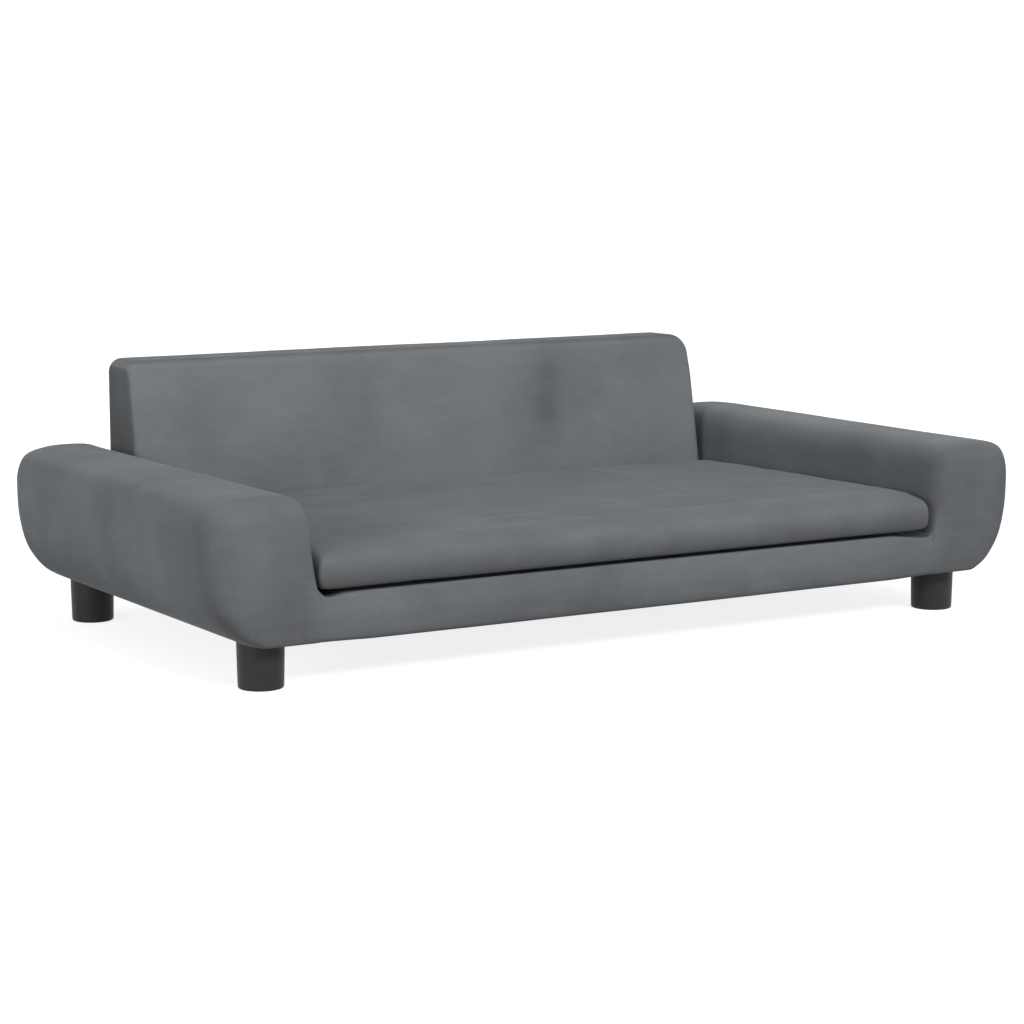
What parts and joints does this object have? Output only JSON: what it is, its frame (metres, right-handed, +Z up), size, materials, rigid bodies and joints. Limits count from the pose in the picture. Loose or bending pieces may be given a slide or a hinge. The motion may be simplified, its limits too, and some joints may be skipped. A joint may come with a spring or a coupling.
{
  "type": "dog bed",
  "caption": "Low sofa-shaped pet bed: boat-shaped padded arms, wedge backrest, upholstered base on screw-in feet, and a loose seat cushion with a hidden zip.",
  "frame": {"origin": "centre of the part's bounding box at floor level, where the feet stand", "axes": "+Z up, +X to the right as seen from the front (the long direction), +Y to the back, so the open front faces -Y"},
  "size_m": [0.994, 0.5321, 0.284],
  "materials": {
    "velvet": "dark grey short-pile velvet",
    "foam": "upholstery foam",
    "foot_plastic": "satin black moulded plastic",
    "dust_cloth": "black non-woven cloth",
    "zip_cloth": "woven zip tape",
    "zip_coil": "nylon coil",
    "zinc_steel": "bright zinc plate",
    "zip_metal": "dark painted zinc",
    "pine": "sawn softwood",
    "plywood": "sanded plywood"
  },
  "bodies": {
    "sofa": {"arm_bolt_nuts": "zinc_steel", "arm_bolts": "zinc_steel", "back_bolt_nuts": "zinc_steel", "back_bolts": "zinc_steel", "back_panel": "plywood", "back_rail": "pine", "back_rail_inner": "pine", "back_ribs": "plywood", "back_slope_board": "plywood", "backrest_cover": "velvet", "backrest_foam": "foam", "base_cover": "velvet", "base_foam": "foam", "cross_rails": "pine", "deck_board": "plywood", "dust_cover": "dust_cloth", "dust_cover_staples": "zinc_steel", "end_rails": "pine", "foot_nuts": "zinc_steel", "foot_studs": "zinc_steel", "front_rail": "pine", "left_arm_base_board": "plywood", "left_arm_battens": "pine", "left_arm_bent_board": "plywood", "left_arm_cover": "velvet", "left_arm_foam": "foam", "left_arm_formers": "plywood", "left_arm_inner_board": "plywood", "left_back_foot": "foot_plastic", "left_front_foot": "foot_plastic", "right_arm_base_board": "plywood", "right_arm_battens": "pine", "right_arm_bent_board": "plywood", "right_arm_cover": "velvet", "right_arm_foam": "foam", "right_arm_formers": "plywood", "right_arm_inner_board": "plywood", "right_back_foot": "foot_plastic", "right_front_foot": "foot_plastic"},
    "cushion": {"cushion_foam": "foam", "cushion_cover": "velvet", "zip_tapes": "zip_cloth", "zip_chain": "zip_coil", "zip_stops": "zip_metal"},
    "zip_slider": {"zip_slider": "zip_metal"}
  },
  "joints": [
    {"name": "cushion_lift", "type": "slide", "parent": "sofa", "child": "cushion", "axis": [0, 0, 1], "range_m": [0, 0.25]},
    {"name": "zip_slide", "type": "slide", "parent": "cushion", "child": "zip_slider", "axis": [-1, 0, 0], "range_m": [0, 0.588]}
  ]
}
